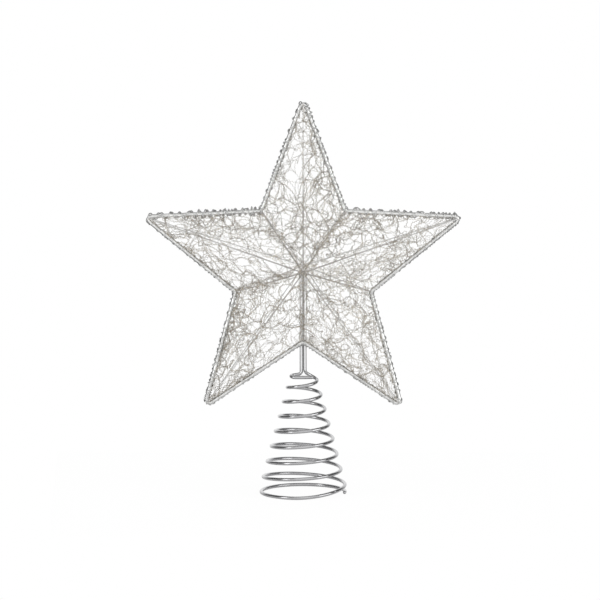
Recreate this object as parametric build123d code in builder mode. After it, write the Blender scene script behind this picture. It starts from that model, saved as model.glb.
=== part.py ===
from build123d import *
import math
import os

os.makedirs("parts", exist_ok=True)

# A silver wire star on a conical coil foot, in millimetres.
# The coil stands on z = 0 about the Z axis, and the star faces -Y.

# Driving sizes of the star, between the centre lines of its wires
star_width = 197.4
star_height = 192.7
notch_radius = 45.4
star_rise = 15.0
outline_wire_d = 2.6
point_bend_inside = 0.7
notch_bend_inside = 1.9
rib_wire_d = 1.2

# Driving sizes of the coil: one wire from the tail of its foot ring to the stem
coil_wire_d = 2.2
coil_base_radius = 26.7
coil_top_radius = 8.9
coil_turns = 7
coil_pitch = 9.64
coil_pitch_drop = 1.0
foot_rise = 5.7
foot_ramp_angle = 108.0
foot_seam_angle = 42.0
foot_tail_angle = 16.0

# Driving sizes of the stem that the coil runs into, rises being above the coil's top
stem_rise = 25.0
stem_bend_length = 3.0
stem_foot_rise = 6.8
swing_reach = 5.6
swing_side = 4.3
swing_rise = 1.9
swing_slope = 0.55
loop_reach = 7.7
loop_bend = 3.3
loop_back_rise = 3.4
loop_left_rise = 2.4
loop_front_rise = 1.6
loop_slope = 0.15
tail_reach = 6.6
tail_side = 1.4
tail_turn = 0.5

# Driving sizes of the nets stretched over the faces
web_strands = 6
web_strand_width = 0.7
web_border_width = 0.8
web_thickness = 0.5

# Clearances between welded wires, beside the nets and between turns of the coil's wire
weld_gap = 0.1
web_gap = 0.25
wire_gap = 0.5

# Facets of the wires, how much of the foot is cut flat, and how the net's strands scatter
wire_sides = 8
flat_share = 0.1
corner_share = 0.1
golden_step = 0.618
plastic_step = 0.755

# The star's points and notches, anticlockwise from the top as seen from the front
point_names = ["top", "left", "lower_left", "lower_right", "right"]
notch_names = ["upper_left", "left", "bottom", "right", "upper_right"]
points = len(point_names)
point_angles = [90 + 360 / points * i for i in range(points)]
notch_angles = [angle + 180 / points for angle in point_angles]
half_step = math.pi / points

# Wire radii and the star's corners, worked out from the driving sizes
outline_r = outline_wire_d / 2
rib_r = rib_wire_d / 2
coil_r = coil_wire_d / 2
point_bend = outline_r + point_bend_inside
notch_bend = outline_r + notch_bend_inside
point_radius = star_width / 2 / math.sin(2 * half_step)
stretch = star_height / (1 + math.cos(half_step)) / point_radius
notch_in = notch_radius * math.cos(half_step)
point_half = math.atan2(notch_radius * math.sin(half_step), point_radius - notch_in)
notch_half = point_half + half_step
point_corner_radius = point_radius + point_bend * (1 / math.sin(point_half) - 1)
notch_shift = notch_bend * (1 / math.sin(notch_half) - 1)

# Heights of the coil and the star
foot_height = coil_r * math.cos(math.pi / wire_sides) - flat_share * coil_wire_d
coil_top_height = foot_rise + coil_turns * coil_pitch
bottom_notch_height = coil_top_height + stem_rise
star_centre_height = bottom_notch_height + notch_radius * stretch

# Where ribs, nets and the stem lie beside their neighbours
rib_side = rib_r + weld_gap / 2
ridge_setback = (outline_r + rib_r + weld_gap) / math.sin(point_half)
valley_setback = outline_r + weld_gap - notch_shift
stem_half = (coil_wire_d + wire_gap) / 2
stem_back = outline_r + coil_r + weld_gap
rib_inset = rib_r + web_gap
outline_inset = outline_r + web_gap
stem_inset = stem_half + coil_r + web_gap


def around(radius, angle, y=0.0):
    """A spot of the star at a polar angle in degrees, seen from the front."""
    turn = math.radians(angle)
    return Vector(
        radius * math.cos(turn),
        y,
        star_centre_height + radius * stretch * math.sin(turn),
    )


def coil_point(turn):
    """The coil's centre line, in turns past the right-hand side of its first free turn."""
    first_pitch = coil_pitch + coil_pitch_drop / 2
    ramp = foot_ramp_angle / 360
    share = min(max(1 + turn / ramp, 0), 1)
    end_slope = first_pitch * ramp / (foot_rise - foot_height)
    lift = (3 - end_slope) * share**2 + (end_slope - 2) * share**3
    free = max(turn, 0)
    climb = first_pitch * free - coil_pitch_drop * free**2 / (2 * coil_turns)
    radius = coil_base_radius + (coil_top_radius - coil_base_radius) * free / coil_turns
    height = foot_height + (foot_rise - foot_height) * lift + climb
    angle = 2 * math.pi * turn
    return Vector(radius * math.cos(angle), radius * math.sin(angle), height)


def coil_heading(turn):
    """The direction in which the coil's wire runs."""
    step = 0.001
    return (coil_point(turn + step) - coil_point(turn - step)).normalized()


def biarc(start, start_heading, end, end_heading):
    """Add two arcs that leave start along one heading and reach end along the other."""
    span = end - start
    along = span.dot(start_heading + end_heading)
    bend = 1 - start_heading.dot(end_heading)
    reach = (math.sqrt(along**2 + 2 * bend * span.dot(span)) - along) / (2 * bend)
    middle = (start + start_heading * reach + end - end_heading * reach) / 2
    first = TangentArc(start, middle, tangent=start_heading)
    TangentArc(middle, end, tangent=first % 1)


def coil_wire(first, last):
    """Add the coil's line between two places on it, a biarc for each quarter turn."""
    steps = math.ceil(4 * (last - first))
    stops = [first + (last - first) * i / steps for i in range(steps + 1)]
    for a, b in zip(stops, stops[1:]):
        biarc(coil_point(a), coil_heading(a), coil_point(b), coil_heading(b))


def coil_section(start, heading):
    """Draw the coil wire's faceted section across its start, with a flat underneath."""
    with BuildSketch(Plane(start, x_dir=(0, 0, 1), z_dir=heading)) as section:
        RegularPolygon(coil_r, wire_sides, rotation=180 / wire_sides)
    return section.sketch


def print_self_gap(name, path):
    """Print the least gap between stretches of a coil wire that are not neighbours."""
    spacing = coil_r / 2
    neighbours = math.ceil(4 * coil_wire_d / spacing)
    count = math.ceil(path.length / spacing)
    spots = [tuple(path @ (i / count)) for i in range(count + 1)]
    least = min(
        math.dist(spots[i], spots[j])
        for i in range(len(spots))
        for j in range(i + neighbours, len(spots))
    )
    print(f"{name} least gap to itself {least - coil_wire_d:.2f} mm, length {path.length:.1f} mm")


# The foot ring, flat from its tail until the wire has left the surface that it stands on
foot_start = -1 - foot_tail_angle / 360
foot_end = -foot_seam_angle / 360
with BuildPart() as coil_foot_ring:
    with BuildLine() as foot_line:
        coil_wire(foot_start, foot_end)
    sweep(sections=coil_section(coil_point(foot_start), coil_heading(foot_start)))
    split(bisect_by=Plane.XY, keep=Keep.TOP)
coil_foot_ring.part.label = "coil_foot_ring"
export_step(coil_foot_ring.part, "parts/coil_foot_ring.step")
print_self_gap("coil_foot_ring", foot_line.wire())

# The conical coil, unbroken from the foot ring to the loop at the foot of the stem
with BuildPart() as coil_spring:
    with BuildLine() as coil_line:
        coil_wire(foot_end, coil_turns)
    sweep(sections=coil_section(coil_point(foot_end), coil_heading(foot_end)))
coil_spring.part.label = "coil_spring"
export_step(coil_spring.part, "parts/coil_spring.step")
print_self_gap("coil_spring", coil_line.wire())

# The coil's wire swings in behind its top turn and up the right leg of the stem
up = Vector(0, 0, 1)
top = Vector(0, 0, coil_top_height)
swing_start = coil_point(coil_turns)
swing_middle = top + Vector(swing_reach, swing_side, swing_rise)
swing_heading = Vector(-1, 0, swing_slope).normalized()
right_foot = top + Vector(stem_half, stem_back, stem_foot_rise)

# The left leg ends in a loop: out to the left, round to the front and along it to a tail
left_foot = top + Vector(-stem_half, stem_back, stem_foot_rise)
loop_back = top + Vector(loop_bend - loop_reach, stem_back, loop_back_rise)
loop_left = top + Vector(-loop_reach, stem_back - loop_bend, loop_left_rise)
loop_front = top + Vector(loop_bend - loop_reach, stem_back - 2 * loop_bend, loop_front_rise)
tail_end = top + Vector(tail_reach, loop_front.Y + tail_side, loop_front_rise)
leftwards = Vector(-1, 0, -loop_slope).normalized()
forwards = Vector(0, -1, -loop_slope).normalized()
rightwards = Vector(1, 0, 0)
tail_heading = Vector(1, tail_turn, 0).normalized()

# Both legs rise behind the notch, lean along the back's bottom valley and join in a round bend
back_apex = around(0, 0, star_rise)
bottom_notch = around(notch_radius, 270)
back_valley = (bottom_notch - back_apex).normalized()
back_ridge = (around(point_corner_radius, point_angles[2], rib_side) - back_apex).normalized()
bend_room = stem_half + coil_r + weld_gap + rib_r
bend_reach = bend_room / math.sin(math.radians(back_valley.get_angle(back_ridge)))
stem_end = back_apex + back_valley * bend_reach
stem_kink = bottom_notch + Vector(0, stem_back, 0)
lean = (stem_end - stem_kink).normalized()
aside = Vector(stem_half, 0, 0)
below_kink = stem_kink - up * stem_bend_length
above_kink = stem_kink + lean * stem_bend_length

with BuildPart() as hairpin_stem:
    with BuildLine() as stem_line:
        biarc(swing_start, coil_heading(coil_turns), swing_middle, swing_heading)
        biarc(swing_middle, swing_heading, right_foot, up)
        Line(right_foot, below_kink + aside)
        biarc(below_kink + aside, up, above_kink + aside, lean)
        Line(above_kink + aside, stem_end + aside)
        biarc(stem_end + aside, lean, stem_end - aside, -lean)
        Line(stem_end - aside, above_kink - aside)
        biarc(above_kink - aside, -lean, below_kink - aside, -up)
        Line(below_kink - aside, left_foot)
        biarc(left_foot, -up, loop_back, leftwards)
        biarc(loop_back, leftwards, loop_left, forwards)
        biarc(loop_left, forwards, loop_front, rightwards)
        biarc(loop_front, rightwards, tail_end, tail_heading)
    sweep(sections=coil_section(swing_start, coil_heading(coil_turns)))
hairpin_stem.part.label = "hairpin_stem"
export_step(hairpin_stem.part, "parts/hairpin_stem.step")
print_self_gap("hairpin_stem", stem_line.wire())

# The outline, one wire bent round ten corners and butted into a closed star
outline_corners = []
for point_angle, notch_angle in zip(point_angles, notch_angles):
    outline_corners.append(around(point_corner_radius, point_angle))
    outline_corners.append(around(notch_radius, notch_angle))
with BuildPart() as outline_wire:
    with BuildLine() as outline_line:
        FilletPolyline(*outline_corners, radius=[point_bend, notch_bend] * points, close=True)
    outline_path = outline_line.wire()
    with BuildSketch(Plane(outline_path @ 0, x_dir=(0, 1, 0), z_dir=outline_path % 0)):
        RegularPolygon(outline_r, wire_sides)
    sweep()
outline_wire.part.label = "outline_wire"
export_step(outline_wire.part, "parts/outline_wire.step")


def make_rib(name, apex, corner, angle, setback):
    """Make a straight rib, mitred against its neighbours at the apex and cut short of its corner."""
    heading = (corner - apex).normalized()
    with BuildPart() as rib:
        with BuildSketch(Plane(apex, x_dir=(0, 1, 0), z_dir=heading)):
            RegularPolygon(rib_r, wire_sides)
        extrude(amount=(corner - apex).length - setback)
        for side in (-1, 1):
            edge = around(1, angle + side * 90 / points) - around(0, 0)
            inward = Vector(side * edge.Z, 0, -side * edge.X).normalized()
            split(bisect_by=Plane(apex + inward * weld_gap / 2, z_dir=inward), keep=Keep.TOP)
    rib.part.label = name
    export_step(rib.part, f"parts/{name}.step")


def inset_corner(corner, first, second, first_inset, second_inset):
    """The spot in a corner one inset away from its first side and another from its second."""
    one = (first - corner).normalized()
    two = (second - corner).normalized()
    spread = abs(one.X * two.Y - one.Y * two.X)
    return corner + one * (second_inset / spread) + two * (first_inset / spread)


def inset_triangle(apex, point, notch, valley_inset, extra):
    """The corners of a face, drawn in from its ridge, its valley and the outline."""
    ridge = rib_inset + extra
    valley = valley_inset + extra
    outline = outline_inset + extra
    return [
        inset_corner(apex, point, notch, ridge, valley),
        inset_corner(point, apex, notch, ridge, outline),
        inset_corner(notch, apex, point, valley, outline),
    ]


def scattered(start, end, number, step):
    """A spot on a side of the net, evenly scattered and clear of the corners."""
    share = corner_share + (1 - 2 * corner_share) * (number * step % 1)
    return start + (end - start) * share


def make_net(apex, point, notch, valley_inset, seed):
    """Make the flat net of one face: a border, and strands from each side to the next."""
    plane = Plane(apex, x_dir=point - apex, z_dir=(point - apex).cross(notch - apex))
    face = [plane.to_local_coords(corner) for corner in (apex, point, notch)]
    ends = inset_triangle(*face, valley_inset, web_border_width / 2)
    with BuildPart() as net:
        with BuildSketch(plane):
            with BuildLine():
                Polyline(*inset_triangle(*face, valley_inset, 0), close=True)
            make_face()
            offset(amount=-web_border_width, mode=Mode.SUBTRACT)
            for number in range(seed, seed + web_strands):
                first, second, third = (ends[(number + i) % 3] for i in range(3))
                with BuildLine():
                    Line(
                        scattered(first, second, number, golden_step),
                        scattered(second, third, number, plastic_step),
                    )
                trace(line_width=web_strand_width)
        extrude(amount=web_thickness / 2, both=True)
    return net.part


# Each side of the star: ribs from its apex to the points and notches, and nets between them.
# At the back, the stem lies in the bottom valley in place of a rib.
seed = 0
for side_name, side in (("front", -1), ("back", 1)):
    apex = around(0, 0, side * star_rise)
    point_spots = [around(point_corner_radius, angle, side * rib_side) for angle in point_angles]
    notch_spots = [around(notch_radius, angle, side * rib_side) for angle in notch_angles]
    valley_insets = [rib_inset] * points
    if side_name == "back":
        valley_insets[notch_names.index("bottom")] = stem_inset
    for i in range(points):
        ridge_name = f"{side_name}_ridge_{point_names[i]}"
        make_rib(ridge_name, apex, point_spots[i], point_angles[i], ridge_setback)
    for i in range(points):
        valley_name = f"{side_name}_valley_{notch_names[i]}"
        if valley_insets[i] == rib_inset:
            make_rib(valley_name, apex, notch_spots[i], notch_angles[i], valley_setback)
    for i in range(points):
        with BuildPart() as web:
            for k in (i - 1, i):
                add(make_net(apex, point_spots[i], notch_spots[k], valley_insets[k], seed))
                seed += web_strands
        web.part.label = f"{side_name}_web_{point_names[i]}"
        export_step(web.part, f"parts/{side_name}_web_{point_names[i]}.step")
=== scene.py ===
import math

import bpy
import numpy as np
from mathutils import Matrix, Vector


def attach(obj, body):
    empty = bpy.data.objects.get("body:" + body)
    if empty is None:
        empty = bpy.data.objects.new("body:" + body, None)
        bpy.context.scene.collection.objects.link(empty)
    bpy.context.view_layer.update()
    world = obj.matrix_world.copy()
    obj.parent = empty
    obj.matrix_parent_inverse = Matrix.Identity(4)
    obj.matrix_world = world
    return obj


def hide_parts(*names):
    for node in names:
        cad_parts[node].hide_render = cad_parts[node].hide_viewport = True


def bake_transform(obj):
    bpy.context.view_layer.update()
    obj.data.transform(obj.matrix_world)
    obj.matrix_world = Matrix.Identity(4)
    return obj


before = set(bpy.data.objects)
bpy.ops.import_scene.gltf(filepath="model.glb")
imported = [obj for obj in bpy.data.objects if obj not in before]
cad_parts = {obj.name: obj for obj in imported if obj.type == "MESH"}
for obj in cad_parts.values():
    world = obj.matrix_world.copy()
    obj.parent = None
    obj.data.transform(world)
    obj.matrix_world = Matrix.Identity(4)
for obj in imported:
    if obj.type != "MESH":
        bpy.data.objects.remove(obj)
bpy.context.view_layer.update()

# Sizes in millimetres. The star faces -Y, and its coil stands on z = 0 about the Z axis.
MM = 0.001
UP = np.array([0.0, 0.0, 1.0])
TO_BACK = np.array([0.0, 1.0, 0.0])

STAR_WIDTH = 197.4
STAR_HEIGHT = 192.7
STAR_RISE = 15.0
NOTCH_RADIUS = 45.4
OUTLINE_R = 1.3
POINT_BEND = 2.0
NOTCH_BEND = 3.2
RIB_R = 0.6
RIB_SIDE = 0.65
COIL_R = 1.1
COIL_BASE_RADIUS = 26.7
COIL_TOP_RADIUS = 8.9
COIL_TURNS = 7
COIL_PITCH = 9.64
COIL_PITCH_DROP = 1.0
FOOT_RISE = 5.7
STEM_RISE = 25.0
STEM_HALF = 1.15
STEM_BACK = 2.5

POINT_NAMES = ["top", "left", "lower_left", "lower_right", "right"]
NOTCH_NAMES = ["upper_left", "left", "bottom", "right", "upper_right"]
POINTS = len(POINT_NAMES)
HALF_STEP = math.pi / POINTS
POINT_ANGLES = math.pi / 2 + 2 * HALF_STEP * np.arange(POINTS)
NOTCH_ANGLES = POINT_ANGLES + HALF_STEP

point_radius = STAR_WIDTH / 2 / math.sin(2 * HALF_STEP)
stretch = STAR_HEIGHT / (1 + math.cos(HALF_STEP)) / point_radius
notch_u = NOTCH_RADIUS * math.cos(HALF_STEP)
notch_v = NOTCH_RADIUS * math.sin(HALF_STEP)
point_half = math.atan2(notch_v, point_radius - notch_u)
corner_radius = point_radius + POINT_BEND * (1 / math.sin(point_half) - 1)
coil_top_height = FOOT_RISE + COIL_TURNS * COIL_PITCH
centre_height = coil_top_height + STEM_RISE + NOTCH_RADIUS * stretch

# The straight outline of half an arm, whose point lies along +u: its outward normal and distance
edge = np.array([notch_u - corner_radius, notch_v])
edge_normal = np.array([edge[1], -edge[0]]) / np.linalg.norm(edge)
edge_distance = float(edge_normal @ [corner_radius, 0])


def unit(vectors):
    """Vectors divided by their lengths."""
    return vectors / np.linalg.norm(vectors, axis=-1, keepdims=True)


def around(radius, angle, y=0.0):
    """A spot of the star at a polar angle seen from the front: x by the cosine, and z by the
    sine times the star's stretch above its centre."""
    x = radius * np.cos(angle)
    z = centre_height + radius * stretch * np.sin(angle)
    return np.stack(np.broadcast_arrays(x, y, z), axis=-1)


def lengths_along(line):
    """The length of a line up to each of its spots: the running sum of the steps."""
    steps = np.linalg.norm(np.diff(line, axis=-2), axis=-1)
    start = np.zeros(steps.shape[:-1] + (1,))
    return np.concatenate([start, np.cumsum(steps, axis=-1)], axis=-1)


def respaced(line, stations):
    """The spots of a line at given lengths along it, straight between its own spots."""
    length = lengths_along(line)
    return np.stack([np.interp(stations, length, line[:, axis]) for axis in range(3)], axis=1)


def smooth_noise(rng, count, spacing, reach):
    """A smooth random row about 0 with a spread of 1: random numbers averaged over a raised
    cosine that goes as far as the reach to either side."""
    half = max(int(reach / spacing), 1)
    window = 1 + np.cos(np.linspace(-math.pi, math.pi, 2 * half + 1))
    row = rng.standard_normal(count + 2 * half)
    row = np.convolve(row, window, mode="valid")
    return row / np.linalg.norm(window)


def paint(piece, name, values):
    """Keep one number for each vertex of a piece, for its finish."""
    attribute = piece.data.attributes.new(name, "FLOAT", "POINT")
    attribute.data.foreach_set("value", np.asarray(values, np.float32).ravel())


TONE_STEP = 0.618


def wires(name, lines, radius, reference, sides):
    """A mesh of round wires. Across each spot of a line stands a circle: its first axis is the
    heading crossed with the reference, its second the heading crossed with the first, and it
    goes round both by cosine and sine. Flat caps close the ends. The attribute along_wire holds
    the length along the wire, counted from a number of its own, and the place across it, and
    strand_tone holds a number for each wire, spread evenly from 0 to 1."""
    lines = np.asarray(lines, float)
    if lines.ndim == 2:
        lines = lines[None]
    count, spots = lines.shape[:2]
    heading = unit(np.gradient(lines, axis=1))
    first = unit(np.cross(heading, np.broadcast_to(reference, lines.shape)))
    second = np.cross(heading, first)
    turn = 2 * math.pi * np.arange(sides) / sides
    ring = np.broadcast_to(radius, (count, spots))[..., None, None]
    across = np.stack([np.cos(turn), np.sin(turn)], axis=1)
    offset = across[:, :1] * first[:, :, None] + across[:, 1:] * second[:, :, None]
    verts = (lines[:, :, None] + ring * offset) * MM
    length = lengths_along(lines) + lines[:, -1].sum(axis=1, keepdims=True)
    along = np.broadcast_to(length[:, :, None, None], (count, spots, sides, 1))
    aside = np.broadcast_to(ring * across, (count, spots, sides, 2))
    place = np.concatenate([along, aside], axis=3)
    index = np.arange(count * spots * sides).reshape(count, spots, sides)
    beside = np.roll(index, -1, axis=2)
    quads = np.stack([index[:, :-1], beside[:, :-1], beside[:, 1:], index[:, 1:]], axis=3)
    caps = np.concatenate([index[:, 0, ::-1], index[:, -1]])
    faces = quads.reshape(-1, 4).tolist() + caps.tolist()
    mesh = bpy.data.meshes.new(name)
    mesh.from_pydata(verts.reshape(-1, 3).tolist(), [], faces)
    mesh.shade_smooth()
    spread = mesh.attributes.new("along_wire", "FLOAT_VECTOR", "POINT")
    spread.data.foreach_set("vector", (place * MM).astype(np.float32).ravel())
    piece = bpy.data.objects.new(name, mesh)
    paint(piece, "strand_tone", np.repeat(np.arange(count) * TONE_STEP % 1, spots * sides))
    bpy.context.scene.collection.objects.link(piece)
    return piece


class Shade:
    """One output of a node tree. Sums, differences and products of it add Math nodes."""

    def __init__(self, tree, output=None):
        self.tree = tree
        self.output = output

    def node(self, kind, settings=None, sockets=None, output=0):
        """A new node: its settings first, then its sockets' values or links."""
        made = self.tree.nodes.new(kind)
        for name, value in (settings or {}).items():
            setattr(made, name, value)
        for name, value in (sockets or {}).items():
            if isinstance(value, Shade):
                self.tree.links.new(value.output, made.inputs[name])
            else:
                made.inputs[name].default_value = value
        return Shade(self.tree, made.outputs[output] if made.outputs else None)

    def maths(self, operation, first, second):
        """A Math node on two values or links."""
        return self.node("ShaderNodeMath", {"operation": operation}, {0: first, 1: second})

    def __add__(self, other):
        return self.maths("ADD", self, other)

    def __sub__(self, other):
        return self.maths("SUBTRACT", self, other)

    def __rsub__(self, other):
        return self.maths("SUBTRACT", other, self)

    def __mul__(self, other):
        return self.maths("MULTIPLY", self, other)

    __radd__ = __add__
    __rmul__ = __mul__

    def mix(self, first, second):
        """The first colour where this value is 0 and the second where it is 1."""
        return self.node(
            "ShaderNodeMix", {"data_type": "RGBA"}, {0: self, 6: first, 7: second}, output=2
        )


def colour(red, green, blue):
    """An opaque colour."""
    return (red, green, blue, 1.0)


def grey(level):
    """A colour with red, green and blue alike."""
    return colour(level, level, level)


def new_tree(owner):
    """The emptied node tree of a material or the world."""
    owner.use_nodes = True
    owner.node_tree.nodes.clear()
    return Shade(owner.node_tree)


# What each layer of a wire's finish adds. The patches' scale counts them in a metre, and the bump's
# height is in millimetres.
STREAK_SHARE = 0.9
STREAK_DETAIL = 3.0
STREAK_ROUGH = 0.06
PATCH_SHARE = 0.6
PATCH_SCALE = 130.0
PATCH_DETAIL = 4.0
# How far the attribute bright turns a wire to white; on the stem it is a painted highlight
BRIGHT_SHARE = 0.6
# Painted shade in the groove between wires: its near-black level, and how much rougher it makes the
# wire
CREASE_SHADE_DARK = 0.012
CREASE_SHADE_ROUGH = 0.7
BUMP_STRENGTH = 0.25
BUMP_HEIGHT = 0.03


def wire_finish(name, dark, light, rough, fine, streaks, tone_share=0.0, contrast=1.0):
    """Drawn and plated wire. Streaks run along it: fine counts them in a metre of wire, and streaks
    says how many times closer they lie across it. Soft patches of tarnish lie over them, and each
    strand has a tone of its own. Their sum, spread about its middle by the contrast, sets the
    colour between dark and light. Patches and streaks set the roughness between two values, and a
    fine bump. Where the attribute bright is painted the wire is paler, which on the stem is a
    painted highlight. Where shade is painted in the groove between wires, it is near black and
    dull."""
    material = bpy.data.materials.new(name)
    tree = new_tree(material)
    along = tree.node("ShaderNodeAttribute", {"attribute_name": "along_wire"}, output="Vector")
    drawn = tree.node(
        "ShaderNodeVectorMath",
        {"operation": "MULTIPLY"},
        {0: along, 1: (fine, fine * streaks, fine * streaks)},
    )
    streak = tree.node(
        "ShaderNodeTexNoise", {}, {"Vector": drawn, "Scale": 1.0, "Detail": STREAK_DETAIL}
    )
    spot = tree.node("ShaderNodeTexCoord", output="Object")
    patch = tree.node(
        "ShaderNodeTexNoise", {}, {"Vector": spot, "Scale": PATCH_SCALE, "Detail": PATCH_DETAIL}
    )
    tone, crease_shade, bright = (
        tree.node("ShaderNodeAttribute", {"attribute_name": painted}, output="Fac")
        for painted in ("strand_tone", "crease_shade", "bright")
    )
    shade = streak * (STREAK_SHARE - tone_share) + patch * PATCH_SHARE + tone * tone_share
    middle = (STREAK_SHARE + PATCH_SHARE) / 2
    shade = shade * contrast + (0.5 - middle * contrast)
    base = tree.node("ShaderNodeClamp", {}, {"Value": shade}).mix(dark, light)
    # Paler where bright is painted: on the stem this is a painted highlight
    base = (bright * BRIGHT_SHARE).mix(base, grey(1.0))
    # Painted shade: near black in the groove between the stem's legs
    base = crease_shade.mix(base, grey(CREASE_SHADE_DARK))
    roughness = patch * (rough[1] - rough[0]) + streak * STREAK_ROUGH + crease_shade * CREASE_SHADE_ROUGH
    roughness = roughness + rough[0] - STREAK_ROUGH / 2
    bump = tree.node(
        "ShaderNodeBump",
        {},
        {"Strength": BUMP_STRENGTH, "Distance": BUMP_HEIGHT * MM, "Height": streak + patch},
    )
    shader = tree.node(
        "ShaderNodeBsdfPrincipled",
        {},
        {"Base Color": base, "Metallic": 1.0, "Roughness": roughness, "Normal": bump},
    )
    tree.node("ShaderNodeOutputMaterial", {}, {"Surface": shader})
    return material


coil_chrome = wire_finish(
    "coil_chrome",
    dark=colour(0.40, 0.40, 0.41),
    light=colour(0.72, 0.72, 0.73),
    rough=(0.09, 0.2),
    fine=120,
    streaks=12,
)
frame_silver = wire_finish(
    "frame_silver",
    dark=colour(0.58, 0.58, 0.57),
    light=colour(1.0, 1.0, 0.99),
    rough=(0.08, 0.2),
    fine=330,
    streaks=5,
    contrast=3.0,
)
rib_silver = wire_finish(
    "rib_silver",
    dark=colour(0.24, 0.23, 0.22),
    light=colour(0.80, 0.78, 0.75),
    rough=(0.14, 0.3),
    fine=200,
    streaks=9,
)
web_silver = wire_finish(
    "web_silver",
    dark=colour(0.40, 0.365, 0.31),
    light=colour(1.0, 0.94, 0.84),
    rough=(0.12, 0.3),
    fine=150,
    streaks=8,
    tone_share=0.35,
    contrast=1.5,
)
winding_silver = wire_finish(
    "winding_silver",
    dark=colour(0.50, 0.50, 0.49),
    light=colour(1.0, 1.0, 0.99),
    rough=(0.10, 0.26),
    fine=260,
    streaks=5,
)


def finished(piece, material, nodes=(), body=None):
    """Dress a piece, hide the parts of model.glb that it stands for and set the body that it moves
    with.
    """
    piece.data.materials.append(material)
    if nodes:
        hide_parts(*nodes)
    if body:
        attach(piece, body)


# The coil, in turns from the spot where its wire leaves the foot: the foot ring's two ends, the
# ramp down to it, and the spot where the lower and the upper turns meet
FOOT_START = -1 - 10 / 360
FOOT_END = -42 / 360
FOOT_RAMP = 0.3
COIL_SEAM = 1.5

COIL_SIDES = 20
FINE_SPACING = 0.2


def coil_line(first, last, spacing=0.8):
    """The coil's centre line. Its angle is a full circle a turn from the right-hand side, its
    radius falls evenly from base to top, and its height rises by a pitch that drops evenly; below
    turn 0 a cubic ramp brings it down on the flat foot."""
    count = math.ceil((last - first) * 2 * math.pi * COIL_BASE_RADIUS / spacing) + 1
    turn = np.linspace(first, last, count)
    first_pitch = COIL_PITCH + COIL_PITCH_DROP / 2
    share = np.clip(1 + turn / FOOT_RAMP, 0, 1)
    end_slope = first_pitch * FOOT_RAMP / (FOOT_RISE - COIL_R)
    lift = (3 - end_slope) * share**2 + (end_slope - 2) * share**3
    free = np.maximum(turn, 0)
    radius = COIL_BASE_RADIUS + (COIL_TOP_RADIUS - COIL_BASE_RADIUS) * free / COIL_TURNS
    climb = first_pitch * free - COIL_PITCH_DROP * free**2 / (2 * COIL_TURNS)
    height = COIL_R + (FOOT_RISE - COIL_R) * lift + climb
    angle = 2 * math.pi * turn
    return np.stack([radius * np.cos(angle), radius * np.sin(angle), height], axis=1)


LEAST_ANGLE = 1e-6
LEAST_LENGTH = 1e-9


def arc(start, heading, end, count=14):
    """A circle's arc that leaves start along a heading and reaches end: along the heading by the
    sine, and aside from it by one less the cosine, of an angle up to twice that of its chord."""
    chord = end - start
    reach = np.linalg.norm(chord)
    along = float(chord @ heading) / reach
    aside = chord / reach - along * heading
    half = max(math.acos(np.clip(along, -1, 1)), LEAST_ANGLE)
    aside = aside / max(np.linalg.norm(aside), LEAST_LENGTH)
    turn = np.linspace(0, 2 * half, count)[:, None]
    radius = reach / (2 * math.sin(half))
    return start + radius * (np.sin(turn) * heading + (1 - np.cos(turn)) * aside)


def biarc(start, start_heading, end, end_heading):
    """Two arcs that leave start along one heading, meet halfway, and reach end along another."""
    span = end - start
    along = span @ (start_heading + end_heading)
    bend = 1 - start_heading @ end_heading
    reach = (math.sqrt(along**2 + 2 * bend * (span @ span)) - along) / (2 * bend)
    middle = (start + start_heading * reach + end - end_heading * reach) / 2
    first = arc(start, start_heading, middle)
    second = arc(end, -end_heading, middle)[::-1]
    return np.concatenate([first[:-1], second[:-1]])


DOME_LEAST = 0.04
DOME_STEPS = 6


def domed(line, radius, start, end):
    """A wire's radius along its line: round where a cut end shows, as the circle of a ball that
    just fits in the wire."""
    length = lengths_along(line)
    room = np.minimum(length if start else radius, (length[-1] - length) if end else radius)
    share = np.clip(room / radius, DOME_LEAST, 1)
    return radius * np.sqrt(1 - (1 - share) ** 2)


def end_spaced(line, radius, start, end, spacing=0.9):
    """A line with even spots, and crowded ones where it ends in a dome: there they lie at one
    less the cosine of even angles, times the radius."""
    total = lengths_along(line)[-1]
    dome = radius * (1 - np.cos(np.linspace(0, math.pi / 2, DOME_STEPS)[:-1]))
    low = radius if start else 0.0
    high = total - radius if end else total
    run = np.linspace(low, high, math.ceil((high - low) / spacing) + 1)
    parts = [dome] if start else []
    parts.append(run)
    if end:
        parts.append(total - dome[::-1])
    return respaced(line, np.concatenate(parts))


foot_line = end_spaced(coil_line(FOOT_START, FOOT_END, FINE_SPACING), COIL_R, True, False)
foot_ring = wires("foot_ring", foot_line, domed(foot_line, COIL_R, True, False), UP, COIL_SIDES)
finished(foot_ring, coil_chrome, ["coil_foot_ring"], "foot")

# The coil is one wire, made in two pieces: its lower turns and its upper turns.
lower_coil = wires("coil_lower_turns", coil_line(FOOT_END, COIL_SEAM), COIL_R, UP, COIL_SIDES)
finished(lower_coil, coil_chrome, ["coil_spring"])
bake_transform(lower_coil)
upper_coil = wires("coil_upper_turns", coil_line(COIL_SEAM, COIL_TURNS), COIL_R, UP, COIL_SIDES)
finished(upper_coil, coil_chrome, ["coil_spring"])
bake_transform(upper_coil)

# The stem: the end of the coil that gives its first heading, in turns, how far the legs' bend
# stays off the back apex, how far the lean starts round the notch, and the loop above the coil
COIL_END = 0.002
BEND_SHORT = 5.25
KINK_REACH = 3.0
LOOP_RADIUS = 3.3
STEM_SPACING = 0.6
STEM_REFERENCE = np.array([0, -0.6, 0.8])


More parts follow.
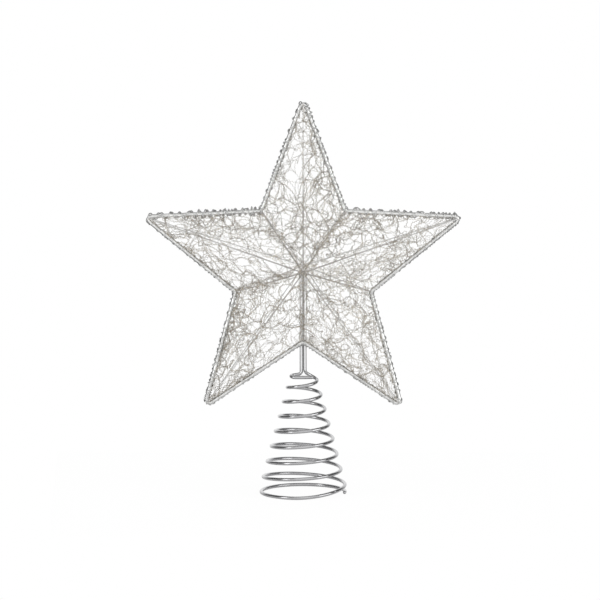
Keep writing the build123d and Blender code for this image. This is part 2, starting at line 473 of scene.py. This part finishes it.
def stem_path():
    """The stem's centre line, in pairs of arcs with straight legs between them. The coil's wire
    swings in behind its top turn and up the right leg, leans with the back of the star above the
    bottom notch, turns in a round bend, comes down the left leg and ends in a loop round to the
    front. Spots near the coil are given from the top of its axis."""
    last_stretch = coil_line(COIL_TURNS - COIL_END, COIL_TURNS, FINE_SPACING)
    swing_start = last_stretch[-1]
    coil_out = unit(last_stretch[-1] - last_stretch[0])
    top = coil_top_height * UP
    swing_middle = top + [5.6, 4.3, 1.9]
    swing_heading = unit(np.array([-1, 0, 0.55]))
    right_foot = top + [STEM_HALF, STEM_BACK, 6.8]
    left_foot = top + [-STEM_HALF, STEM_BACK, 5.2]
    loop_back = top + [-3.6, STEM_BACK, 3.3]
    loop_left = top + [-7.7, STEM_BACK - LOOP_RADIUS, 2.8]
    loop_front = top + [-4.4, STEM_BACK - 2 * LOOP_RADIUS, 2.4]
    tail_end = top + [6.6, STEM_BACK - 5.2, 2.4]
    leftwards = unit(np.array([-1, 0, -0.15]))
    forwards = unit(np.array([0, -1, -0.15]))
    rightwards = np.array([1.0, 0.0, 0.0])
    tail_heading = unit(np.array([1, 0.5, 0]))
    back_apex = around(0.0, 0.0, STAR_RISE)
    bottom_notch = around(NOTCH_RADIUS, NOTCH_ANGLES[NOTCH_NAMES.index("bottom")])
    bend_start = back_apex + BEND_SHORT * unit(bottom_notch - back_apex)
    kink = bottom_notch + [0, STEM_BACK, 0]
    lean = unit(bend_start - kink)
    aside = np.array([STEM_HALF, 0, 0])
    below_kink = kink - KINK_REACH * UP
    above_kink = kink + KINK_REACH * lean
    return np.concatenate([
        biarc(swing_start, coil_out, swing_middle, swing_heading),
        biarc(swing_middle, swing_heading, right_foot, UP),
        biarc(below_kink + aside, UP, above_kink + aside, lean),
        biarc(bend_start + aside, lean, bend_start - aside, -lean),
        biarc(above_kink - aside, -lean, below_kink - aside, -UP),
        biarc(left_foot, -UP, loop_back, leftwards),
        biarc(loop_back, leftwards, loop_left, forwards),
        biarc(loop_left, forwards, loop_front, rightwards),
        biarc(loop_front, rightwards, tail_end, tail_heading),
        tail_end[None],
    ])


# Where shade is painted in the groove between the stem's legs, and where a highlight is painted on
# the legs: widths from its middle, and heights over the coil
CREASE_SHADE_HALF = 0.62
CREASE_SHADE_FADE = 0.3
CREASE_SHADE_START = 4.5
PAINTED_HIGHLIGHT_START = 3.0
PAINTED_HIGHLIGHT_RUN = 4.0


def paint_stem_shade_and_highlight(stem):
    """Paint shade into the groove between the stem's legs, darker the nearer a vertex is to the
    middle, and paint a highlight that brightens the legs evenly above the loop."""
    spots = np.empty(3 * len(stem.data.vertices), np.float32)
    stem.data.vertices.foreach_get("co", spots)
    spots = spots.reshape(-1, 3) / MM
    height = spots[:, 2] - coil_top_height
    between = np.clip((CREASE_SHADE_HALF - np.abs(spots[:, 0])) / CREASE_SHADE_FADE, 0, 1)
    # Painted shade between the legs, from a height over the coil upwards
    paint(stem, "crease_shade", between * np.clip(height - CREASE_SHADE_START, 0, 1))
    # Painted highlight, growing over a height above the loop
    paint(stem, "bright", np.clip((height - PAINTED_HIGHLIGHT_START) / PAINTED_HIGHLIGHT_RUN, 0, 1))


stem_line = end_spaced(stem_path(), COIL_R, False, True, STEM_SPACING)
stem_r = domed(stem_line, COIL_R, False, True)
stem = wires("hairpin_stem_wire", stem_line, stem_r, STEM_REFERENCE, COIL_SIDES)
finished(stem, coil_chrome, ["hairpin_stem"], "star")
paint_stem_shade_and_highlight(stem)

OUTLINE_SIDES = 14
OUTLINE_SPACING = 1.0
BEND_SPOTS = 16


def rounded_outline():
    """The closed outline: straight from corner to corner, with an arc in each corner that leaves
    the first side by the sine of its angle and turns aside from it by one less the cosine."""
    corners = np.empty((2 * POINTS, 3))
    corners[0::2] = around(corner_radius, POINT_ANGLES)
    corners[1::2] = around(NOTCH_RADIUS, NOTCH_ANGLES)
    bends = np.tile([POINT_BEND, NOTCH_BEND], POINTS)[:, None]
    arrive = unit(corners - np.roll(corners, 1, axis=0))
    leave = np.roll(arrive, -1, axis=0)
    left = np.stack([-arrive[:, 2], arrive[:, 1], arrive[:, 0]], axis=1)
    side = np.sign(np.sum(left * leave, axis=1, keepdims=True))
    turn = np.arccos(np.clip(np.sum(arrive * leave, axis=1, keepdims=True), -1, 1))
    start = corners - arrive * bends * np.tan(turn / 2)
    angle = (turn * np.linspace(0, 1, BEND_SPOTS))[..., None]
    inward = (side * left * bends)[:, None]
    onward = (arrive * bends)[:, None]
    arcs = start[:, None] + inward * (1 - np.cos(angle)) + onward * np.sin(angle)
    line = arcs.reshape(-1, 3)
    return np.concatenate([line, line[:1]])


outline_path = rounded_outline()
outline_length = lengths_along(outline_path)[-1]
outline_spots = math.ceil(outline_length / OUTLINE_SPACING) + 1
outline_line = respaced(outline_path, np.linspace(0, outline_length, outline_spots))
outline = wires("outline_rod", outline_line, OUTLINE_R, TO_BACK, OUTLINE_SIDES)
finished(outline, frame_silver, ["outline_wire"], "star")

# The ribs: their drawn radius on each side of the star, and how bright they are at the apex with
# the length over which that grows by one; the weld's swelling and reach, and where they end
FRONT_RIB_R = 0.4
BACK_RIB_R = 0.29
FRONT_BRIGHT = (-0.3, 60)
BACK_BRIGHT = (0.9, 75)
RIB_SIDES = 12
RIB_SPACING = 1.0
WELD_SWELL = 0.35
WELD_REACH = 1.4
NOTCH_SETBACK = 0.6
point_setback = (OUTLINE_R + RIB_R / 2) / math.sin(point_half)


def make_rib(node, apex, corner, setback, radius, bright):
    """A straight rib from the apex to its corner, swollen by a bell curve where it is welded, and
    brighter with its length."""
    heading = unit(corner - apex)
    reach = np.linalg.norm(corner - apex) - setback
    length = np.linspace(0, reach, math.ceil(reach / RIB_SPACING) + 1)
    line = apex + heading * length[:, None]
    swell = WELD_SWELL * np.exp(-(((reach - length) / WELD_REACH) ** 2))
    piece = wires(f"{node}_rod", line, radius * (1 + swell), TO_BACK, RIB_SIDES)
    at_apex, run = bright
    paint(piece, "bright", np.repeat(np.clip(at_apex + length / run, 0, 1), RIB_SIDES))
    finished(piece, rib_silver, [node], "star")


for side_name, side, rib_r, bright in (
    ("front", -1, FRONT_RIB_R, FRONT_BRIGHT),
    ("back", 1, BACK_RIB_R, BACK_BRIGHT),
):
    apex = around(0.0, 0.0, side * STAR_RISE)
    for name, angle in zip(POINT_NAMES, POINT_ANGLES):
        point = around(corner_radius, angle, side * RIB_SIDE)
        make_rib(f"{side_name}_ridge_{name}", apex, point, point_setback, rib_r, bright)
    for name, angle in zip(NOTCH_NAMES, NOTCH_ANGLES):
        # The stem takes the place of the back's bottom rib
        if (side_name, name) != ("back", "bottom"):
            notch = around(NOTCH_RADIUS, angle, side * RIB_SIDE)
            make_rib(f"{side_name}_valley_{name}", apex, notch, NOTCH_SETBACK, rib_r, bright)

# The web. The odds of a side belong to an arm's four sides from the centre round, and other odds to
# the values above them.
SEED = 42
PATHS_PER_ARM = 35
SIDE_ODDS = [0.1, 0.4, 0.4, 0.1]
STRAND_SAMPLES = 160
STRAND_R = 0.137
STRAND_SIDES = 3
STRAND_WIDTHS = [0.75, 1.0, 1.3, 1.6]
WIDTH_ODDS = [0.45, 0.4, 0.1, 0.05]
LAYERS = (-0.5, 0.9)
OVERLAP = 2.5
EDGE_ROOM = 2.5
# The curls of a strand: each wave's longest and shortest length and its size
CURL_WAVES = ((30, 16, 0.6), (16, 9, 1.25), (8, 4.5, 0.5))
CURLS = [0.6, 0.9, 1.2]
CURL_ODDS = [0.3, 0.35, 0.35]
CURL_FADE = 5
LEAST_CYCLES = 0.5
WAVE_ROOM = 9.0
LEAST_ROOM = 0.2
# Strands that run together, and how far they wander off their path
BUNCHES = [1, 2]
BUNCH_ODDS = [0.8, 0.2]
BUNCH_SIZE = 0.45
BUNCH_WAVES = (6, 14)
# The fine crimp
CRIMP_SAMPLES = 480
CRIMP_PITCH = 1.7
CRIMP_SPREAD = (0.8, 1.3)
CRIMP_SIZE = 0.28
CRIMP_PHASE = 6
SAMPLES_PER_CRIMP = 5
# The waves that gather the strands
CLUMP_WAVES = 5
CLUMP_LENGTHS = (14, 30)
CLUMP_SHARE = 0.12
# A little off the depth, so that no strand runs along it
STRAND_REFERENCE = TO_BACK + [0.01, 0, 0.02]


def star_share(spots):
    """How far out spots of the star's plane lie, 0 at the centre and 1 on the outline, with the
    angle to the nearest point: the distance along the outline's normal over that of the outline."""
    reach = np.hypot(spots[..., 0], spots[..., 1])
    angle = np.arctan2(spots[..., 1], spots[..., 0]) - math.pi / 2 + HALF_STEP
    fold = np.abs(angle % (2 * HALF_STEP) - HALF_STEP)
    share = reach * (edge_normal[0] * np.cos(fold) + edge_normal[1] * np.sin(fold)) / edge_distance
    return reach, fold, share


def laid_on(spots, layer, side, thick):
    """Strands laid on a side of the star. Spots outside the outline are pulled in to it. The face
    falls evenly from the apex to the outline. A strand lies in its layer over the face, is lifted
    over the ribs and the stem by the circle of their wire, and sinks evenly behind the outline."""
    reach, fold, share = star_share(spots)
    pull = 1 / np.maximum(np.maximum(share, reach / point_radius), 1)
    spots = spots * pull[..., None]
    reach = reach * pull
    share = share * pull
    face = STAR_RISE - (STAR_RISE - RIB_SIDE) * share
    nearest = np.minimum(np.sin(fold), np.sin(HALF_STEP - fold)) * reach
    over_rib = np.sqrt(np.maximum((RIB_R + thick) ** 2 - nearest**2, 0))
    inside = np.clip((1 - share) * edge_distance / EDGE_ROOM, 0, 1)
    height = face + np.maximum(over_rib, layer) * inside
    if side > 0:
        beside = np.maximum(np.abs(spots[..., 0]) - STEM_HALF, 0)
        over_stem = np.sqrt(np.maximum((COIL_R + thick) ** 2 - beside**2, 0))
        stem_face = face + (STEM_BACK - RIB_SIDE) * share
        at_stem = (spots[..., 1] < 0) & (over_stem > 0)
        height = np.where(at_stem, np.maximum(height, stem_face + over_stem), height)
    x = spots[..., 0]
    z = centre_height + spots[..., 1] * stretch
    return np.stack([x, side * height, z], axis=-1)


def crinkled(rng, starts, ends, samples, curl):
    """Strands on an arm whose point lies along +u. Each runs straight from start to end, and three
    waves that go round in small circles are added, so that it waves, curls and loops. The waves
    fade at both ends, and towards the point by the room between the arm's sides."""
    share = np.linspace(0, 1, samples)
    span = np.linalg.norm(ends - starts, axis=1)
    line = starts[:, None] + (ends - starts)[:, None] * share[None, :, None]
    room = (corner_radius - line[..., 0]) * math.tan(point_half)
    fade = np.minimum(1, CURL_FADE * np.minimum(share, 1 - share))
    fade = fade * np.clip(room / WAVE_ROOM, LEAST_ROOM, 1)
    for long_wave, short_wave, size in CURL_WAVES:
        wave = rng.uniform(short_wave, long_wave, len(starts))
        phase = rng.uniform(0, 2 * math.pi, (len(starts), 1))
        turn = rng.choice([-1, 1], (len(starts), 1))
        cycles = np.maximum(span / wave, LEAST_CYCLES)[:, None]
        swing = (size * curl * wave / (2 * math.pi))[:, None] * fade
        angle = phase + turn * 2 * math.pi * cycles * share[None]
        line = line + np.stack([swing * np.cos(angle), swing * np.sin(angle)], axis=2)
    return line


def sidewards(lines):
    """The way across each spot of flat lines: their heading turned by a quarter."""
    heading = unit(np.gradient(lines, axis=1))
    return np.stack([-heading[..., 1], heading[..., 0]], axis=2)


def bunched(rng, lines, counts, size):
    """Strands that run together: each line is repeated, and every copy wanders off it to the side
    by the sine of its place along the line, with a wave length of its own."""
    lines = np.repeat(lines, counts, axis=0)
    share = np.linspace(0, 1, lines.shape[1])
    cycles = lengths_along(lines)[:, -1:] / rng.uniform(*BUNCH_WAVES, (len(lines), 1))
    turn = 2 * math.pi * (cycles * share[None] + rng.random((len(lines), 1)))
    return lines + size * np.sin(turn)[..., None] * sidewards(lines)


def crimped(rng, lines, samples, pitch, size):
    """Strands with a fine crimp: each is respaced evenly and waves across its heading by the sine
    of its length, and by the cosine it rises and falls, which is given apart."""
    length = lengths_along(lines)
    evenly = [np.linspace(0, total, samples) for total in length[:, -1]]
    even = np.stack([
        np.stack([np.interp(stations, along, line[:, axis]) for axis in range(2)], axis=1)
        for stations, along, line in zip(evenly, length, lines)
    ])
    shortest = SAMPLES_PER_CRIMP * length[:, -1] / samples
    wave = np.maximum(pitch * rng.uniform(*CRIMP_SPREAD, len(lines)), shortest)
    phase = rng.uniform(0, CRIMP_PHASE, (len(lines), 1))
    turn = 2 * math.pi * np.stack(evenly) / wave[:, None] + phase
    return even + size * np.sin(turn)[..., None] * sidewards(even), size * np.cos(turn)


def clumped(spots, waves):
    """Spots of the star's plane shifted along each wave by the sine of their place across it, so
    that strands gather here and leave gaps there."""
    for wave, phase, size in waves:
        spots = spots + size * unit(wave) * np.sin(spots @ wave + phase)[..., None]
    return spots


def turned(spots, angle):
    """Spots of the star's plane turned about its centre, by the cosine and sine of the angle."""
    u, v = spots[..., 0], spots[..., 1]
    c, s = math.cos(angle), math.sin(angle)
    return np.stack([c * u - s * v, s * u + c * v], axis=-1)


overlap_u = notch_u - OVERLAP * math.sin(HALF_STEP)
overlap_v = notch_v + OVERLAP * math.cos(HALF_STEP)
arm_corners = np.array([
    [-OVERLAP / math.sin(HALF_STEP), 0],
    [overlap_u, -overlap_v],
    [corner_radius, 0],
    [overlap_u, overlap_v],
])
sides_of_arm = len(arm_corners)


def arm_strands(rng, angle, waves, side):
    """The strands of one arm and their radii. Each path runs between two sides of the arm, from
    and to places that are spread evenly over them."""
    first_side = rng.choice(sides_of_arm, PATHS_PER_ARM, p=SIDE_ODDS)
    last_side = (first_side + rng.integers(1, sides_of_arm, PATHS_PER_ARM)) % sides_of_arm
    order = np.stack([rng.permutation(PATHS_PER_ARM), rng.permutation(PATHS_PER_ARM)])
    places = ((order + rng.random(order.shape)) / PATHS_PER_ARM)[..., None]
    starts, ends = (
        arm_corners[s] + (arm_corners[(s + 1) % sides_of_arm] - arm_corners[s]) * place
        for s, place in zip((first_side, last_side), places)
    )
    curl = rng.choice(CURLS, PATHS_PER_ARM, p=CURL_ODDS)
    paths = crinkled(rng, starts, ends, STRAND_SAMPLES, curl)
    paths = clumped(turned(paths, angle), waves)
    counts = rng.choice(BUNCHES, PATHS_PER_ARM, p=BUNCH_ODDS)
    flat = bunched(rng, paths, counts, BUNCH_SIZE)
    flat, rise = crimped(rng, flat, CRIMP_SAMPLES, CRIMP_PITCH, CRIMP_SIZE)
    layer = np.repeat(rng.uniform(*LAYERS, (PATHS_PER_ARM, 1)), counts, axis=0) + rise
    spots = laid_on(flat, layer, side, STRAND_R)
    return spots, STRAND_R * rng.choice(STRAND_WIDTHS, (len(flat), 1), p=WIDTH_ODDS)


rng = np.random.default_rng(SEED)
for side_name, side in (("front", -1), ("back", 1)):
    headings = rng.uniform(0, 2 * math.pi, CLUMP_WAVES)
    steps = 2 * math.pi / rng.uniform(*CLUMP_LENGTHS, CLUMP_WAVES)
    phases = rng.uniform(0, 2 * math.pi, CLUMP_WAVES)
    waves = [
        (step * np.array([math.cos(heading), math.sin(heading)]), phase, CLUMP_SHARE / step)
        for heading, step, phase in zip(headings, steps, phases)
    ]
    for name, angle in zip(POINT_NAMES, POINT_ANGLES):
        spots, thickness = arm_strands(rng, angle, waves, side)
        piece = wires(
            f"{side_name}_strands_{name}", spots, thickness, STRAND_REFERENCE, STRAND_SIDES
        )
        finished(piece, web_silver, [f"{side_name}_web_{name}"], "star")

# The winding of web wire round the outline. Each of its wires has a pitch on the edges that don't
# face up, a pitch on those that do, and a hand. Its pitch wanders, and it is loose in places:
# there, and on edges that face up, it stands further off the rod. At rest it stands off by a share
# of its own radius.
WINDING_R = 0.33
WINDING_SIDES = 5
WINDING_WIRES = ((3.8, 5.5, 1), (4.9, 7.0, -1))
WINDING_STATIONS = 9000
WINDING_STEP = 2
PITCH_WANDER = 0.5
PITCH_REACH = 8
LOOSE_REACH = 3.5
REST_LIFT = 0.4
LOOSE_LIFT = 0.12
UPPER_LIFT = 0.5
UPPER_LOOSE_LIFT = 0.3
UPPER_SWELL = 0.3

stations = np.linspace(0, outline_length, WINDING_STATIONS)
core = respaced(outline_path, stations)
outward = np.cross(TO_BACK, unit(np.gradient(core, axis=0)))
upper = np.clip(outward[:, 2], 0, 1)


def wound(rng, low_pitch, high_pitch, hand):
    """One wire of the winding: outwards by the cosine and to the back by the sine of an angle that
    grows by a full circle a pitch."""
    spacing = stations[1]
    pitch = low_pitch + (high_pitch - low_pitch) * upper
    wander = smooth_noise(rng, WINDING_STATIONS, spacing, PITCH_REACH)
    angle = hand * 2 * math.pi * np.cumsum(np.exp(PITCH_WANDER * wander) / pitch) * spacing
    loose = np.maximum(smooth_noise(rng, WINDING_STATIONS, spacing, LOOSE_REACH), 0)
    radius = OUTLINE_R + WINDING_R * REST_LIFT + LOOSE_LIFT * loose
    radius = radius + upper * (UPPER_LIFT + UPPER_LOOSE_LIFT * loose)
    out = (radius * np.cos(angle))[:, None] * outward
    back = (radius * np.sin(angle))[:, None] * TO_BACK
    return core + out + back


winding_lines = np.stack([wound(rng, *wire) for wire in WINDING_WIRES])[:, ::WINDING_STEP]
winding_r = (WINDING_R * (1 + UPPER_SWELL * upper))[::WINDING_STEP]
winding = wires("outline_winding", winding_lines, winding_r, STRAND_REFERENCE, WINDING_SIDES)
finished(winding, winding_silver, body="star")

# The stage, in metres: a plain pale floor, and the white that the camera and glass see behind the
# object. Gloss sees a white tent in front and behind, with dark cards between them for the metal's
# edges. A tent's side is given by the depths at which it is dim and full, and by its full level.
FLOOR_HALF = 0.16
FLOOR_PAINT = 0.9
FLOOR_GLOW = 1.05
FLOOR_SEEN = 0.9
FLOOR_GLOSS = 0.25
SOFT_LIGHT = 0.45
CARD_LEVEL = 0.12
FRONT_TENT = (-0.25, -0.75, 0.95)
BACK_TENT = (0.52, 0.85, 1.0)
WHITE = grey(1.0)

scene = bpy.context.scene
scene.view_settings.view_transform = "Standard"


def seen_directly(tree, gloss_share):
    """1 for rays from the camera and through glass, a share for gloss, and 0 for light on the
    object."""
    camera, gloss, glass = (
        tree.node("ShaderNodeLightPath", output=f"Is {kind} Ray")
        for kind in ("Camera", "Glossy", "Transmission")
    )
    return tree.node("ShaderNodeClamp", {}, {"Value": camera + gloss * gloss_share + glass})


def tent_side(tree, depth, dim, full, level):
    """How white the tent is at a depth of the ray's heading: evenly from 0 at the dim depth to the
    level at the full one."""
    return tree.node(
        "ShaderNodeMapRange", {}, {"Value": depth, 1: dim, 2: full, 3: 0.0, 4: level}
    )


floor_corners = [
    (x * FLOOR_HALF, y * FLOOR_HALF, 0) for x, y in ((-1, -1), (1, -1), (1, 1), (-1, 1))
]
floor_mesh = bpy.data.meshes.new("floor")
floor_mesh.from_pydata(floor_corners, [], [(0, 1, 2, 3)])
floor = bpy.data.objects.new("floor", floor_mesh)
scene.collection.objects.link(floor)
floor_paint = bpy.data.materials.new("floor_paint")
tree = new_tree(floor_paint)
matt = tree.node("ShaderNodeBsdfDiffuse", {}, {"Color": grey(FLOOR_PAINT)})
glow = tree.node("ShaderNodeEmission", {}, {"Color": WHITE, "Strength": FLOOR_GLOW})
seen = seen_directly(tree, FLOOR_GLOSS) * FLOOR_SEEN
lit = tree.node("ShaderNodeMixShader", {}, {0: seen, 1: matt, 2: glow})
tree.node("ShaderNodeOutputMaterial", {}, {"Surface": lit})
floor_mesh.materials.append(floor_paint)

world = bpy.data.worlds.new("studio")
scene.world = world
tree = new_tree(world)
white = tree.node("ShaderNodeBackground", {}, {"Color": WHITE, "Strength": 1.0})
soft = tree.node("ShaderNodeBackground", {}, {"Color": WHITE, "Strength": SOFT_LIGHT})
heading = tree.node("ShaderNodeTexCoord", output="Generated")
depth = tree.node("ShaderNodeSeparateXYZ", {}, {0: heading}, output="Y")
whiteness = tent_side(tree, depth, *FRONT_TENT) + tent_side(tree, depth, *BACK_TENT)
tent_colour = whiteness.mix(grey(CARD_LEVEL), WHITE)
tent = tree.node("ShaderNodeBackground", {}, {"Color": tent_colour, "Strength": 1.0})
gloss = tree.node("ShaderNodeLightPath", output="Is Glossy Ray")
backdrop = tree.node("ShaderNodeMixShader", {}, {0: gloss, 1: white, 2: tent})
sky = tree.node("ShaderNodeMixShader", {}, {0: seen_directly(tree, 1.0), 1: soft, 2: backdrop})
tree.node("ShaderNodeOutputWorld", {}, {"Surface": sky})

LOOK_AT = np.array([-2.0, 0.0, 125.0]) * MM


def facing(place):
    """The turn that points an object's -Z axis from a place at the middle of the object."""
    return (Vector(LOOK_AT) - Vector(place)).to_track_quat("-Z", "Y").to_euler()


# Soft lamps at the front right, the front left and above: place, width and height, and watts
LAMPS = {
    "lamp_right": ((1.75, -1.0, 0.55), (1.3, 1.5), 9.0),
    "lamp_left": ((-1.55, -1.2, 0.6), (0.6, 1.4), 4.6),
    "lamp_top": ((0.0, -0.3, 2.0), (1.2, 0.8), 2.5),
}
for name, (place, size, power) in LAMPS.items():
    data = bpy.data.lights.new(name, "AREA")
    data.shape = "RECTANGLE"
    data.size, data.size_y = size
    data.energy = power
    lamp = bpy.data.objects.new(name, data)
    lamp.location = place
    lamp.rotation_euler = facing(place)
    scene.collection.objects.link(lamp)

# The camera, far off and nine degrees up, as the photograph was taken
CAMERA_DISTANCE = 9.0
CAMERA_ELEVATION = math.radians(8.9)
FRAME_WIDTH = 0.3828
SENSOR_WIDTH = 36.0
camera_data = bpy.data.cameras.new("camera")
camera_data.sensor_width = SENSOR_WIDTH
camera_data.clip_end = 4 * CAMERA_DISTANCE
camera_data.lens = SENSOR_WIDTH * CAMERA_DISTANCE / FRAME_WIDTH
camera = bpy.data.objects.new("camera", camera_data)
camera.location = LOOK_AT + CAMERA_DISTANCE * np.array(
    [0, -math.cos(CAMERA_ELEVATION), math.sin(CAMERA_ELEVATION)]
)
camera.rotation_euler = facing(camera.location)
scene.collection.objects.link(camera)
scene.camera = camera
